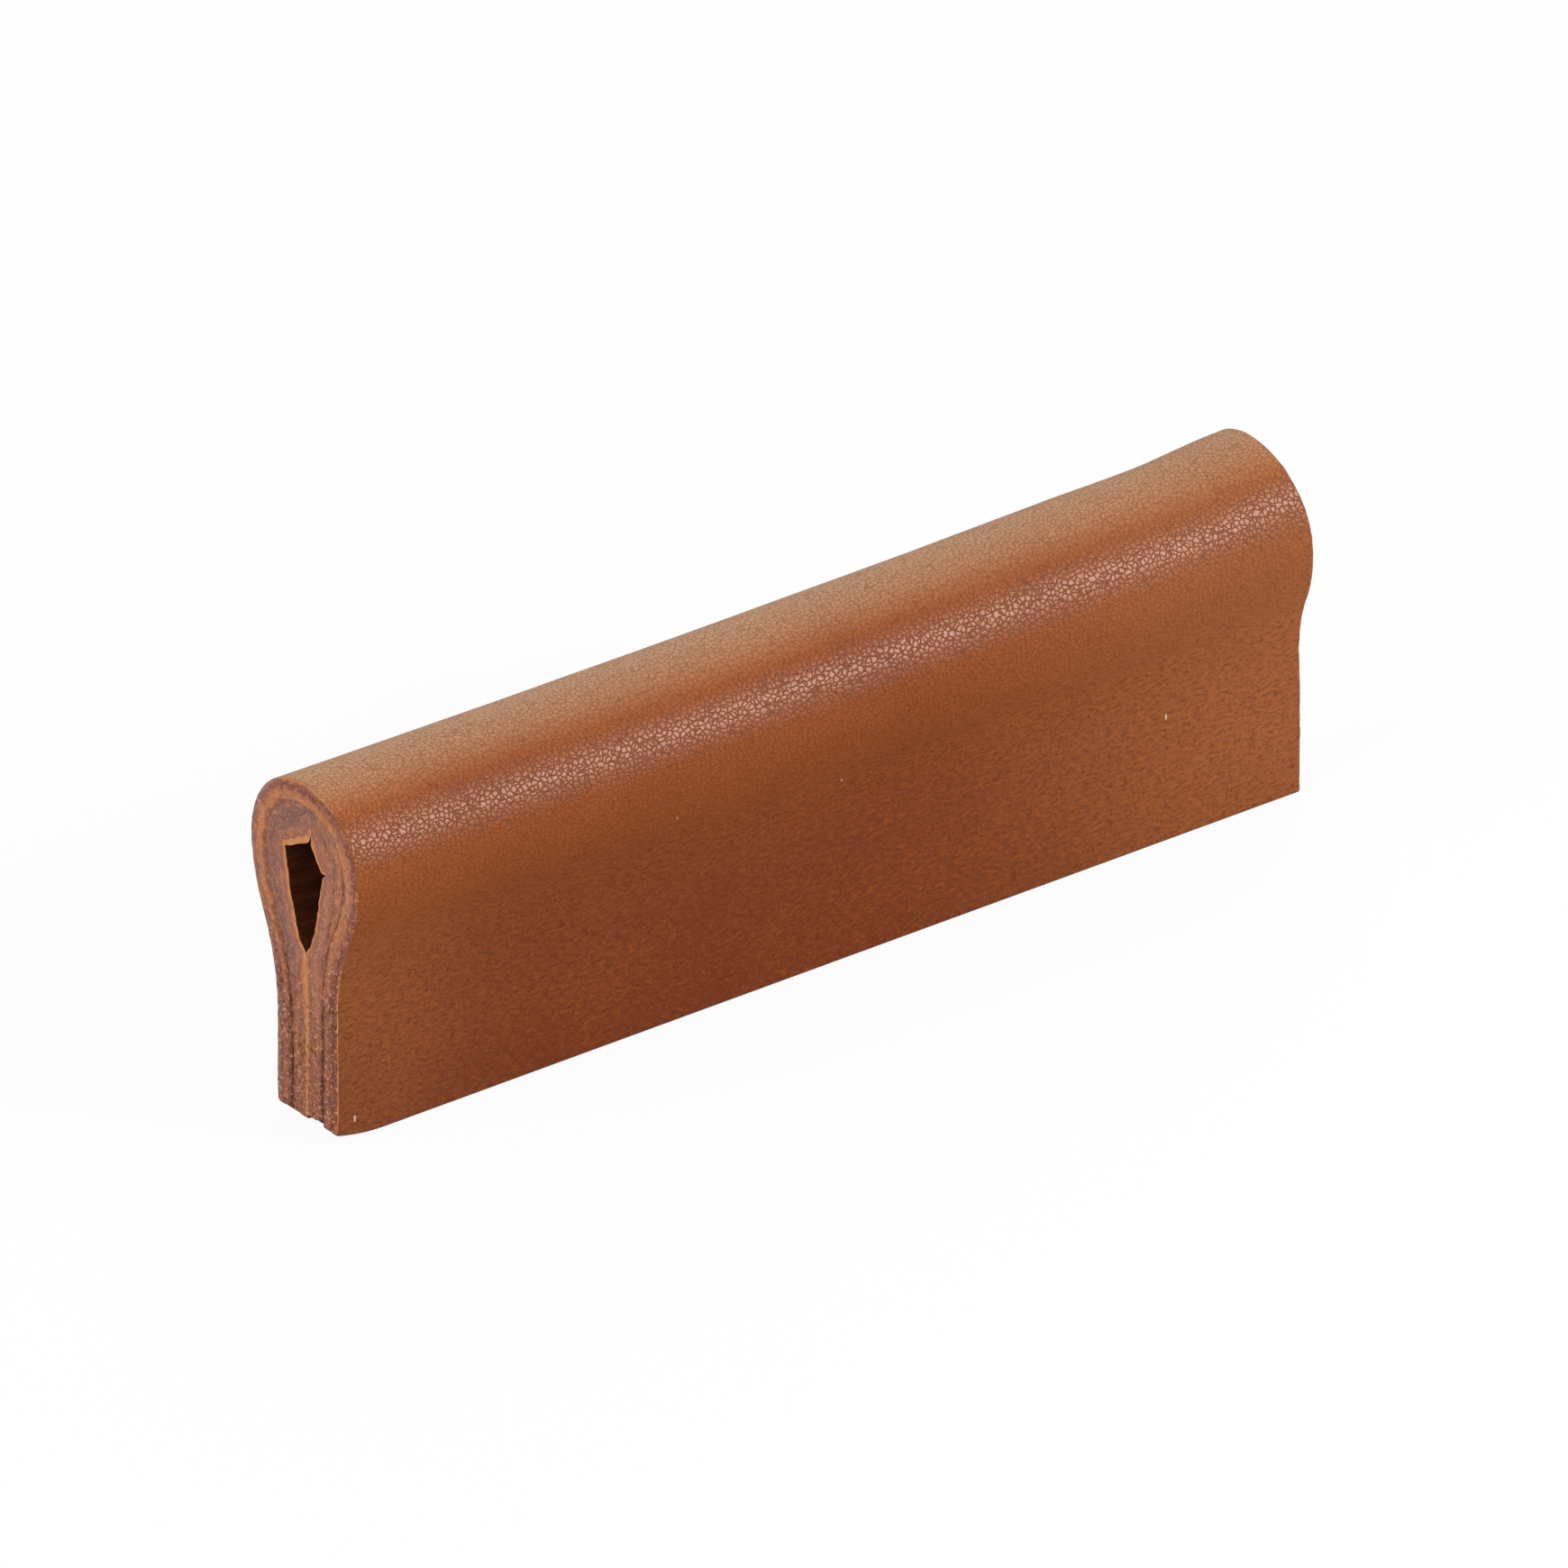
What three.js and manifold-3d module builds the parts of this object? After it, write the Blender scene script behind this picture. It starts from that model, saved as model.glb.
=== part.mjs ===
// A leather pull for a door or drawer. Two sheets are glued flesh to flesh and folded over
// together, so that the folded edge makes a loop to hold and the two legs stand on the door.
// Millimetres. x runs along the pull, y from its front face to its back face, z up from the door.
import * as THREE from "three";
import { mergeVertices } from "three/addons/utils/BufferGeometryUtils.js";
import Module from "manifold-3d";

const wasm = await Module();
wasm.setup();

// Overall sizes of the folded stack
const length = 100;
const height = 32;
const loopWidth = 14.6;

// Sheets, glue line, and the seam where the two legs of the inner sheet meet
const outerThickness = 2.05;
const innerThickness = 1.97;
const glueLine = 0.08;
const seamWidth = 0.1;
const seamOffset = 0.08;
const footRadius = 0.5;
const innerFrontTrim = 0.3;

// Height at which each face leaves the straight leg, and how much of its swing is concave
const frontThroat = 12;
const backThroat = 9;
const concaveShare = 0.55;

// The inner sheet bunches up inside the loop, and leaves a creased hollow
const bunchedSide = 2.67;
const bunchedCrown = 3.07;
const hollowRise = 4.4;

// How the handmade loop departs from a straight one: near end, middle and far end
const loopLean = [0.45, 0.45, 1.0];
const crownSag = [0, 0.6, 0.5];
const farCutBack = 1.1;
const farCutPower = 5;
const nearFootLift = 0.7;
const nearFootLiftReach = 5;
const footLiftHeight = 5;

// Threaded inserts in the foot, on the usual spacing of a pull
const screwSpacing = 64;
const insertLength = 8;
const insertRadius = 2.6;
const threadRadius = 1.65;
const threadDepth = 7;
const insertGrooveDepth = 0.3;
const insertGrooveWidth = 1.2;
const insertRecess = 0.2;
const socketClearance = 0.08;

// Facets
const lengthSteps = 20;
const crownSegments = 8;
const swingSegments = 5;
const footSegments = 3;
const roundSegments = 24;

const legHalf = outerThickness + glueLine + innerThickness + seamWidth / 2;
const innerDepth = outerThickness + glueLine;
const loopRadius = loopWidth / 2;
const crownCentre = height - loopRadius;
const hollowFoot = frontThroat + hollowRise;
const hollowTop = height - innerDepth - bunchedCrown;
const hollowHalfWidth = loopRadius - innerDepth - bunchedSide;

// The swing from a leg out to the loop: two arcs that meet with one tangent.
function swingFrom(throat) {
  const out = loopRadius - legHalf;
  const rise = crownCentre - throat;
  const radiusSum = (out * out + rise * rise) / (2 * out);
  return {
    throat,
    concave: radiusSum * concaveShare,
    convex: radiusSum * (1 - concaveShare),
    angle: Math.atan2(rise, radiusSum - out),
  };
}

const frontSwing = swingFrom(frontThroat);
const backSwing = swingFrom(backThroat);

function arc(y, z, radius, from, to, segments) {
  return new THREE.EllipseCurve(y, z, radius, radius, from, to, to < from).getPoints(segments);
}

// One face of the stack at a depth below the grain, from the front leg over the crown to the
// back leg. Every arc keeps its centre, so two depths stay parallel.
function facePoints(depth) {
  const { PI } = Math;
  const { concave: frontOut, convex: frontIn, angle: frontAngle } = frontSwing;
  const { concave: backOut, convex: backIn, angle: backAngle } = backSwing;
  const crown = loopRadius - depth;
  return [
    ...arc(-legHalf - frontOut, frontThroat, frontOut + depth, 0, frontAngle, swingSegments),
    ...arc(frontIn - loopRadius, crownCentre, frontIn - depth, PI + frontAngle, PI, swingSegments),
    ...arc(0, crownCentre, crown, PI, PI / 2, crownSegments),
    ...arc(0, crownCentre, crown, PI / 2, 0, crownSegments),
    ...arc(loopRadius - backIn, crownCentre, backIn - depth, 0, -backAngle, swingSegments),
    ...arc(legHalf + backOut, backThroat, backOut + depth, PI - backAngle, PI, swingSegments),
  ];
}

function outerOutline() {
  const { PI } = Math;
  const inside = legHalf - outerThickness;
  return [
    new THREE.Vector2(-inside, 0),
    ...arc(footRadius - legHalf, footRadius, footRadius, -PI / 2, -PI, footSegments),
    ...facePoints(0),
    ...arc(legHalf - footRadius, footRadius, footRadius, 0, -PI / 2, footSegments),
    new THREE.Vector2(inside, 0),
    ...facePoints(outerThickness).reverse(),
  ];
}

// Creases of the lining, from the back wall's foot over the top to the front wall's foot.
// Each is a share of the hollow's half width and of its height.
const creases = [
  [0.42, 0.115], [0.61, 0.236], [0.84, 0.495], [0.98, 0.668], [1.0, 0.81],
  [0.4, 0.9], [-0.03, 0.957], [-0.29, 1.0],
  [-0.46, 0.947], [-0.67, 0.862], [-1.02, 0.773], [-0.87, 0.694],
  [-0.78, 0.567], [-0.52, 0.351], [-0.26, 0.161],
];

function innerOutline() {
  const outside = legHalf - innerDepth;
  const backSeam = seamOffset + seamWidth / 2;
  const frontSeam = seamOffset - seamWidth / 2;
  const hollowHeight = hollowTop - hollowFoot;
  const hollow = creases.map(
    ([across, up]) => new THREE.Vector2(across * hollowHalfWidth, hollowFoot + up * hollowHeight),
  );
  return [
    new THREE.Vector2(-outside, innerFrontTrim),
    ...facePoints(innerDepth),
    new THREE.Vector2(outside, 0),
    new THREE.Vector2(backSeam, 0),
    new THREE.Vector2(backSeam, hollowFoot),
    ...hollow,
    new THREE.Vector2(frontSeam, hollowFoot),
    new THREE.Vector2(frontSeam, innerFrontTrim),
  ];
}

function distinct(points) {
  const apart = 1e-4;
  return points.filter((point, i) => i === 0 || point.distanceTo(points[i - 1]) > apart);
}

// A value given at the near end, the middle and the far end, at the share u of the length
function along([near, middle, far], u) {
  return near * (1 - u) * (1 - 2 * u) + middle * 4 * u * (1 - u) + far * u * (2 * u - 1);
}

// Moves a straight sheet's points to where the handmade pull has them. The legs stay put,
// apart from the near corner of the foot, which the knife left a little short.
function settle(position) {
  const { smoothstep } = THREE.MathUtils;
  const swingFoot = Math.min(frontThroat, backThroat);
  const cutBackFrom = 0.8;
  for (let i = 0; i < position.count; i += 1) {
    const x = position.getX(i);
    const z = position.getZ(i);
    const u = x / length + 0.5;
    const loopShare = smoothstep(z, swingFoot, crownCentre);
    const footShare = 1 - smoothstep(z, 0, footLiftHeight);
    const endShare = Math.max(0, 1 - (u * length) / nearFootLiftReach) ** 2;
    const cutShare = (z / height) ** farCutPower * smoothstep(u, cutBackFrom, 1);
    position.setX(i, x - farCutBack * cutShare);
    position.setY(i, position.getY(i) + along(loopLean, u) * loopShare);
    position.setZ(i, z - along(crownSag, u) * loopShare + nearFootLift * endShare * footShare);
  }
}

function solidOf(geometry) {
  const weld = 1e-5;
  const bare = geometry.clone();
  bare.deleteAttribute("normal");
  bare.deleteAttribute("uv");
  const merged = mergeVertices(bare, weld);
  return new wasm.Manifold(
    new wasm.Mesh({
      numProp: 3,
      vertProperties: merged.attributes.position.array,
      triVerts: merged.index.array,
    }),
  );
}

function geometryOf(solid) {
  const mesh = solid.getMesh();
  const geometry = new THREE.BufferGeometry();
  geometry.setAttribute("position", new THREE.BufferAttribute(mesh.vertProperties, 3));
  geometry.setIndex(new THREE.BufferAttribute(mesh.triVerts, 1));
  geometry.computeVertexNormals();
  return geometry;
}

const screwPlaces = [-screwSpacing / 2, screwSpacing / 2];

// A blind round socket in the foot for each insert
function socketAt(x) {
  const radius = insertRadius + socketClearance;
  const depth = insertRecess + insertLength + socketClearance;
  const below = 1;
  const cylinder = new THREE.CylinderGeometry(radius, radius, depth + below, roundSegments);
  cylinder.rotateX(Math.PI / 2);
  cylinder.translate(x, 0, (depth - below) / 2);
  return solidOf(cylinder);
}

function foldedSheet(outline) {
  const sheet = new THREE.ExtrudeGeometry(new THREE.Shape(distinct(outline)), {
    depth: length,
    steps: lengthSteps,
    bevelEnabled: false,
  });
  const [alongX, alongY, alongZ] = [
    new THREE.Vector3(1, 0, 0),
    new THREE.Vector3(0, 1, 0),
    new THREE.Vector3(0, 0, 1),
  ];
  sheet.applyMatrix4(new THREE.Matrix4().makeBasis(alongY, alongZ, alongX));
  sheet.translate(-length / 2, 0, 0);
  settle(sheet.attributes.position);
  let solid = solidOf(sheet);
  for (const x of screwPlaces) solid = solid.subtract(socketAt(x));
  return geometryOf(solid);
}

// A blind brass insert with two grooves round it that the glue grips
function insertGeometry() {
  const grooved = insertRadius - insertGrooveDepth;
  const land = (insertLength - 2 * insertGrooveWidth) / 3;
  const upperGroove = 2 * land + insertGrooveWidth;
  const profile = [
    [0, threadDepth],
    [threadRadius, threadDepth],
    [threadRadius, 0],
    [insertRadius, 0],
    [insertRadius, land],
    [grooved, land],
    [grooved, land + insertGrooveWidth],
    [insertRadius, land + insertGrooveWidth],
    [insertRadius, upperGroove],
    [grooved, upperGroove],
    [grooved, upperGroove + insertGrooveWidth],
    [insertRadius, upperGroove + insertGrooveWidth],
    [insertRadius, insertLength],
    [0, insertLength],
  ].map(([radius, up]) => new THREE.Vector2(radius, up));
  const insert = new THREE.LatheGeometry(profile, roundSegments);
  insert.rotateX(Math.PI / 2);
  return insert;
}

const grainLeather = new THREE.MeshStandardMaterial({ color: 0xa2622f, roughness: 0.5, metalness: 0 });
const liningLeather = new THREE.MeshStandardMaterial({ color: 0x8c5a3a, roughness: 0.8, metalness: 0 });
const brass = new THREE.MeshStandardMaterial({ color: 0xb08d4a, roughness: 0.35, metalness: 1 });

function part(name, geometry, material) {
  const mesh = new THREE.Mesh(geometry, material);
  mesh.name = name;
  return mesh;
}

const pull = new THREE.Group();
pull.add(part("outer_leather", foldedSheet(outerOutline()), grainLeather));
pull.add(part("inner_leather", foldedSheet(innerOutline()), liningLeather));

const insertNames = ["left_threaded_insert", "right_threaded_insert"];
screwPlaces.forEach((x, i) => {
  const insert = part(insertNames[i], insertGeometry(), brass);
  insert.position.set(x, 0, insertRecess);
  pull.add(insert);
});

// The loop leans back, so y = 0 is the middle of the overall width and not of the legs.
pull.position.y = -(loopLean[0] + loopLean[2]) / 2;

const model = new THREE.Group();
model.add(pull);

export default model;
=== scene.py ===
# %% [markdown]
# # A folded leather pull
# Two sheets of saddle leather are glued flesh to flesh and folded over together. The folded edge
# makes a loop for the fingers, and the two legs are glued to each other and stand on the door.
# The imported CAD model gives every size, so it is loaded first and stays where it is.

# %% Load the frame
from math import cos, pi, radians, sin

import bpy
import numpy as np
from mathutils import Matrix, Vector


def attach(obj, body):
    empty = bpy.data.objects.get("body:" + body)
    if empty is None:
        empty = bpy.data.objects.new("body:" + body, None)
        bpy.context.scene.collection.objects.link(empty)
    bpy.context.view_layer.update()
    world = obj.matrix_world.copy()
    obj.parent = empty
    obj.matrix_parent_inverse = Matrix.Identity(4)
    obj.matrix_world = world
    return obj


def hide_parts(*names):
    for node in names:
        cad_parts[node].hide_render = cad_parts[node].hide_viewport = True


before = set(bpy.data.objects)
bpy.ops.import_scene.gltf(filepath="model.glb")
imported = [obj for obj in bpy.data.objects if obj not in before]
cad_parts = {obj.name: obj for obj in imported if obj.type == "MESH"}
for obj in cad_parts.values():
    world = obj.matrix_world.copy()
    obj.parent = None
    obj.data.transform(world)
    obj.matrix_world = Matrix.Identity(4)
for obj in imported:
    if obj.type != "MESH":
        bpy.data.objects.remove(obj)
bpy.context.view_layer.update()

MM = 0.001

# %% [markdown]
# ## Sizes of the stack
# A leather worker would note the same few numbers: how thick each sheet is, how wide the loop is,
# and how high each leg runs straight before it swings out. They repeat the CAD model's own values,
# so that the finished sheets lie in the space of the plain solids. All are in millimetres.

# %% Sizes
LENGTH, HEIGHT, LOOP_WIDTH = 100.0, 32.0, 14.6
OUTER, GLUE, INNER, SEAM, SEAM_AT = 2.05, 0.08, 1.97, 0.1, 0.08
FRONT_THROAT, BACK_THROAT, CONCAVE_SHARE = 12.0, 9.0, 0.55
BUNCHED_SIDE, BUNCHED_CROWN = 2.67, 3.07
HOLLOW_RISE, SEAM_PARTS, FRONT_TRIM = 4.4, 0.3, 0.3

LEG_HALF = OUTER + GLUE + INNER + SEAM / 2
INNER_DEPTH = OUTER + GLUE
LOOP_RADIUS = LOOP_WIDTH / 2
CROWN_CENTRE = HEIGHT - LOOP_RADIUS
HOLLOW_FOOT = FRONT_THROAT + HOLLOW_RISE - SEAM_PARTS
HOLLOW_TOP = HEIGHT - INNER_DEPTH - BUNCHED_CROWN
HOLLOW_HALF = LOOP_RADIUS - INNER_DEPTH - BUNCHED_SIDE
print("legs", round(2 * LEG_HALF, 2), "mm across, hollow", round(2 * HOLLOW_HALF, 2), "mm wide")

# %% [markdown]
# ## The fold seen from its end
# From the end, each face of a sheet is a line: up the front leg, out in a concave and then a convex
# arc, round the crown, and down again. It could be drawn as one curve by eye. Arcs are better here,
# because leather keeps its thickness in a fold, and arcs with shared centres stay parallel.

# %% Lines of the fold
def arc(y, z, radius, start, stop, count=80):
    """Points of an arc: the centre (y, z) plus radius times (cosine, sine) of an even run of angles."""
    angle = np.linspace(start, stop, count)
    return np.stack([y + radius * np.cos(angle), z + radius * np.sin(angle)], axis=1)


def swing(throat):
    """Radii of the concave and the convex arc of a leg's swing, and the angle where they meet.

    Their sum is (out² + rise²) / (2 out), the only pair of arcs that leaves the leg upright and
    reaches the loop's widest point upright.
    """
    out, rise = LOOP_RADIUS - LEG_HALF, CROWN_CENTRE - throat
    both = (out**2 + rise**2) / (2 * out)
    return both * CONCAVE_SHARE, both * (1 - CONCAVE_SHARE), np.arctan2(rise, both - out)


def face_line(depth):
    """One face of the stack, as (y, z) points from the front foot over the crown to the back foot.

    It lies at this depth below the grain: concave arcs gain the depth, convex ones lose it.
    """
    hollow_f, round_f, turn_f = swing(FRONT_THROAT)
    hollow_b, round_b, turn_b = swing(BACK_THROAT)
    return np.concatenate([
        [(depth - LEG_HALF, 0.0)],
        arc(-LEG_HALF - hollow_f, FRONT_THROAT, hollow_f + depth, 0, turn_f),
        arc(round_f - LOOP_RADIUS, CROWN_CENTRE, round_f - depth, pi + turn_f, pi)[1:],
        arc(0, CROWN_CENTRE, LOOP_RADIUS - depth, pi, 0, 240)[1:],
        arc(LOOP_RADIUS - round_b, CROWN_CENTRE, round_b - depth, 0, -turn_b)[1:],
        arc(LEG_HALF + hollow_b, BACK_THROAT, hollow_b + depth, pi - turn_b, pi)[1:],
        [(LEG_HALF - depth, 0.0)],
    ])


def run_of(line):
    """Length along a line up to each of its points: the running sum of its steps."""
    return np.concatenate([[0.0], np.cumsum(np.hypot(*np.diff(line, axis=0).T))])


def on_line(distance, run, line):
    """(y, z) at each distance along a line, between its two nearest points."""
    return np.stack([np.interp(distance, run, line[:, axis]) for axis in (0, 1)], axis=-1)


outer_cut_width = run_of(face_line(OUTER / 2))[-1]
print("outer sheet, cut", LENGTH, "by", round(outer_cut_width, 1), "mm, at mid thickness")

# %% [markdown]
# ## What the hand does to it
# A real pull is never straight. The loop leans back a little, more at its far end, the crown sags
# in the middle, and the knife left the near foot a trace short. Moving the vertices by hand would
# do it once. A rule for any point does it for both sheets alike, so they stay in touch.

# %% Settle a point as the real pull has it
LEAN, SAG = (0.45, 0.45, 1.0), (0.0, 0.6, 0.5)
CUT_BACK, CUT_POWER, FOOT_LIFT, LIFT_REACH, LIFT_HEIGHT = 1.1, 5, 0.7, 5.0, 5.0
CUT_FROM, FLARE, DIP, FLARE_FROM, FLARE_FULL = 0.8, 0.35, 0.45, 0.9, 0.985
FLARE_LOW, FLARE_HIGH = 24, 31
CENTRED = -(LEAN[0] + LEAN[2]) / 2


def smooth(value, low, high):
    """0 below low, 1 above high, and 3k² - 2k³ between, where k is the share of the way."""
    share = np.clip((value - low) / (high - low), 0, 1)
    return share * share * (3 - 2 * share)


def along(values, u):
    """The parabola through three values at the near end, the middle and the far end."""
    near, middle, far = values
    return near * (1 - u) * (1 - 2 * u) + middle * 4 * u * (1 - u) + far * u * (2 * u - 1)


def settle(x, y, z):
    """Moves points of a straight pull: the lean and the sag grow from the throat to the crown.

    At the far end, where the knife let the fold spring open, the crown dips and flares up again.
    """
    u = x / LENGTH + 0.5
    loop = smooth(z, min(FRONT_THROAT, BACK_THROAT), CROWN_CENTRE)
    foot = 1 - smooth(z, 0, LIFT_HEIGHT)
    corner = np.maximum(0, 1 - u * LENGTH / LIFT_REACH) ** 2
    cut = (np.maximum(z, 0) / HEIGHT) ** CUT_POWER * smooth(u, CUT_FROM, 1)
    rise = smooth(u, FLARE_FROM, FLARE_FULL) - DIP * smooth(u, CUT_FROM, FLARE_FROM)
    flare = FLARE * rise * smooth(z, FLARE_LOW, FLARE_HIGH)
    moved = [
        x - CUT_BACK * cut,
        y + along(LEAN, u) * loop + CENTRED,
        z - along(SAG, u) * loop + FOOT_LIFT * corner * foot + flare,
    ]
    return np.stack(moved, axis=-1)


print("the middle of the crown settles to", settle(0.0, 0.0, HEIGHT).round(2), "mm")

# %% [markdown]
# ## Unevenness
# Hide is uneven at every size. Random numbers at each point would look like static. Value noise
# blends random numbers that sit on a coarse lattice, so that its bumps have a size, and a fixed
# seed makes each run the same.

# %% Value noise
LATTICE = 64


def uneven(seed, *places):
    """Value noise from -1 to 1. Each place is (coordinate, cell size), one for each direction.

    The eight random numbers round a point are blended with 3k² - 2k³ in each direction.
    """
    table = np.random.default_rng(seed).uniform(-1, 1, (LATTICE,) * 3)
    spot = np.stack(np.broadcast_arrays(*[np.asarray(at) / cell for at, cell in places]))
    base = np.floor(spot).astype(int)
    share = smooth(spot - base, 0, 1)
    total = 0
    for corner in np.ndindex(2, 2, 2):
        side = np.array(corner).reshape(3, *[1] * (spot.ndim - 1))
        weight = np.where(side == 1, share, 1 - share).prod(axis=0)
        total = total + weight * table[tuple((base + side) % LATTICE)]
    return total


# %% [markdown]
# ## A sheet as a closed block
# A sheet of leather has two faces and four cut edges. Solidify could thicken a surface, but its
# edges would come out plain. A block of three directions, along the fold, through the thickness
# and along the pull, gives each edge its own rows of points to round, bevel and fray.

# %% Rows, block and rounded edges
def rows(length, step, fine):
    """Even steps along a length, and closer rows within each end: shares of the fine distance."""
    close = fine * np.array([0, 0.12, 0.3, 0.5, 0.72, 1.0, 1.6, 2.5])
    middle = np.arange(fine * 3.2, length - fine * 3.2, step)
    return np.unique(np.concatenate([close, middle, length - close]).round(5))


def block(rows_s, rows_t, rows_x):
    """Points on the outside of a lattice of rows, and the quads of its six sides.

    Gives s, t, x of each point, the quads, and for each quad its direction and its end.
    """
    shape = (len(rows_s), len(rows_t), len(rows_x))
    outside = np.ones(shape, bool)
    outside[1:-1, 1:-1, 1:-1] = False
    number = np.zeros(shape, int)
    number[outside] = np.arange(outside.sum())
    s, t, x = (grid[outside] for grid in np.meshgrid(rows_s, rows_t, rows_x, indexing="ij"))
    quads, sides = [], []
    for direction in range(3):
        for end in (0, -1):
            page = np.take(number, end, axis=direction)
            ring = [page[:-1, :-1], page[1:, :-1], page[1:, 1:], page[:-1, 1:]]
            if (direction == 1) != (end == 0):
                ring.reverse()
            side = np.stack(ring, axis=-1).reshape(-1, 4)
            quads.append(side)
            sides.append(np.full(len(side), 2 * direction + (end == -1)))
    return (s, t, x), np.concatenate(quads), np.concatenate(sides)


def round_edges(values, lengths, lows, highs):
    """Rounds a block's edges: each point goes from the block's core along its own way outwards.

    The core lies one radius inside each face. Past it, the way is measured in radii, shortened
    to length one, and measured out again, so that a corner becomes part of an ellipsoid.
    """
    cores, ways, radii = [], [], []
    for value, length, low, high in zip(values, lengths, lows, highs):
        core = np.clip(value, low, length - high)
        radius = np.where(value < core, low, high) + 1e-9
        cores.append(core)
        radii.append(radius)
        ways.append((value - core) / radius)
    reach = np.maximum(np.sqrt(sum(way**2 for way in ways)), 1e-9)
    return [core + radius * way / reach for core, radius, way in zip(cores, radii, ways)]


def make_mesh(name, points, faces, material_of=None, **marks):
    """A mesh of points in millimetres, turned outwards if its volume comes out negative.

    The volume is the sum over the faces of a · (b × c) / 6, for both triangles of a quad.
    """
    a, b, c, d = (points[faces[:, k]] for k in range(4))
    volume = (a * (np.cross(b, c) + np.cross(c, d))).sum() / 6
    if volume < 0:
        faces = faces[:, ::-1]
    mesh = bpy.data.meshes.new(name)
    mesh.from_pydata(points * MM, [], faces)
    if material_of is not None:
        mesh.polygons.foreach_set("material_index", material_of.astype(np.int32))
    for mark, values in marks.items():
        layer = mesh.attributes.new(mark, "FLOAT_VECTOR", "POINT")
        layer.data.foreach_set("vector", values.astype(np.float32).ravel())
    mesh.polygons.foreach_set("use_smooth", np.ones(len(mesh.polygons), bool))
    mesh.update()
    piece = bpy.data.objects.new(name, mesh)
    bpy.context.scene.collection.objects.link(piece)
    print(name, len(points), "points,", round(abs(volume), 1), "cubic mm")
    return piece


# %% [markdown]
# ## Outer sheet
# The outer sheet shows its grain. It is glued to the inner one, so its flesh side only shows as a
# dark groove where the knife has pulled the two layers apart in the legs. The block is bent by
# reading its place from the grain's line and the flesh's line, and the grain is lifted and
# dented a little, as the leather under it gives way.

# %% Torn grooves and frayed ends
def groove(s, x, seed):
    """Radius of the torn rim between the layers: wide in the legs, and fine in the loop's front.

    At the crown and behind it the layers are pressed together.
    """
    leg = smooth(np.abs(s), 19, 29)
    front = smooth(-s, 3, 7)
    gape = uneven(seed, (s, 1.7), (x, 30.0), (seed, 1.0))
    nibble = uneven(seed + 1, (s, 0.6), (x, 30.0), (seed, 1.0))
    return 0.005 + front * (1 - leg) * 0.06 + leg * (0.15 + 0.09 * gape + 0.05 * nibble)


def bevel(torn):
    """How far a torn rim reaches along the pull: nearly twice as far as it is deep."""
    return 0.03 + 1.8 * torn


def fray(seed, s, t, x):
    """Shifts of up to 0.03 mm along the pull, within half a millimetre of either cut end."""
    near_cut = smooth(np.abs(x - LENGTH / 2), LENGTH / 2 - 0.5, LENGTH / 2)
    return 0.03 * uneven(seed, (s, 0.5), (t, 0.3), (x, 1.0)) * near_cut


# %% Outer leather sheet
OUTER_SEEN = INNER_DEPTH - 0.01
grain_line, flesh_line = face_line(0), face_line(OUTER_SEEN)
grain_run = run_of(grain_line)
OUTER_CUT = grain_run[-1]


def swell(s, x):
    """How far the grain stands out, in mm: wide swellings and smaller ones between them."""
    wide = uneven(11, (s, 9.0), (x, 17.0), (0.5, 1.0))
    small = uneven(12, (s, 3.1), (x, 6.0), (0.5, 1.0))
    return 0.07 * wide + 0.025 * small


def outer_place(s, t, x):
    """Between the grain's line and the flesh's line, by the share of the depth."""
    share = (t / OUTER_SEEN)[:, None]
    grain, flesh = (on_line(s, grain_run, line) for line in (grain_line, flesh_line))
    out = (grain - flesh) / OUTER_SEEN
    centred = s - OUTER_CUT / 2
    inside = smooth(s, 0, 4) * smooth(OUTER_CUT - s, 0, 4)
    lift = (swell(centred, x) * inside)[:, None] * (1 - share)
    y, z = (grain + (flesh - grain) * share + out * lift).T
    return settle(x - LENGTH / 2, y, z)


(s, t, x), quads, sides = block(
    rows(OUTER_CUT, 0.3, 0.4), rows(OUTER_SEEN, 0.18, 0.16), rows(LENGTH, 1.0, 0.35)
)
centred = s - OUTER_CUT / 2
foot = smooth(np.abs(centred), OUTER_CUT / 2 - 3, OUTER_CUT / 2)
torn = groove(centred, x, 21)
FOOT_ROUND, GRAIN_ROUND, CUT_ROUND = 0.45, 0.17, 0.14
s, t, x = round_edges(
    (s, t, x),
    (OUTER_CUT, OUTER_SEEN, LENGTH),
    (FOOT_ROUND, GRAIN_ROUND + 0.25 * foot, np.where(t > 1, bevel(torn), CUT_ROUND)),
    (FOOT_ROUND, torn, np.where(t > 1, bevel(torn), CUT_ROUND)),
)
outer_sheet = make_mesh(
    "outer_leather_sheet",
    outer_place(s, t, x + fray(31, s, t, x)),
    quads,
    np.where(sides == 2, 0, 1),
    sheet=np.stack([s - OUTER_CUT / 2, t, x - LENGTH / 2], axis=1),
)

# %% [markdown]
# ## Inner sheet
# The inner sheet has too little room inside the fold, so it bunches up and its lining creases.
# From the end the hollow is a star of a few sharp creases, with the leather pillowed between
# them. The same block is bent between the outer sheet's flesh and that creased line.

# %% Line of the creased lining
CREASES = np.array([
    (0.34, 0.085), (0.516, 0.2), (0.66, 0.342), (0.79, 0.44), (0.87, 0.558), (0.97, 0.685),
    (1.08, 0.833), (0.3, 0.925), (-0.2, 0.985), (-0.345, 1.062),
    (-0.37, 0.972), (-0.55, 0.9), (-0.75, 0.84), (-0.925, 0.778), (-1.15, 0.79),
    (-0.957, 0.736), (-0.92, 0.675), (-0.81, 0.572), (-0.735, 0.45), (-0.61, 0.336),
    (-0.487, 0.22), (-0.23, 0.08),
])
PRESSED_SEAM = 0.012


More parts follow.
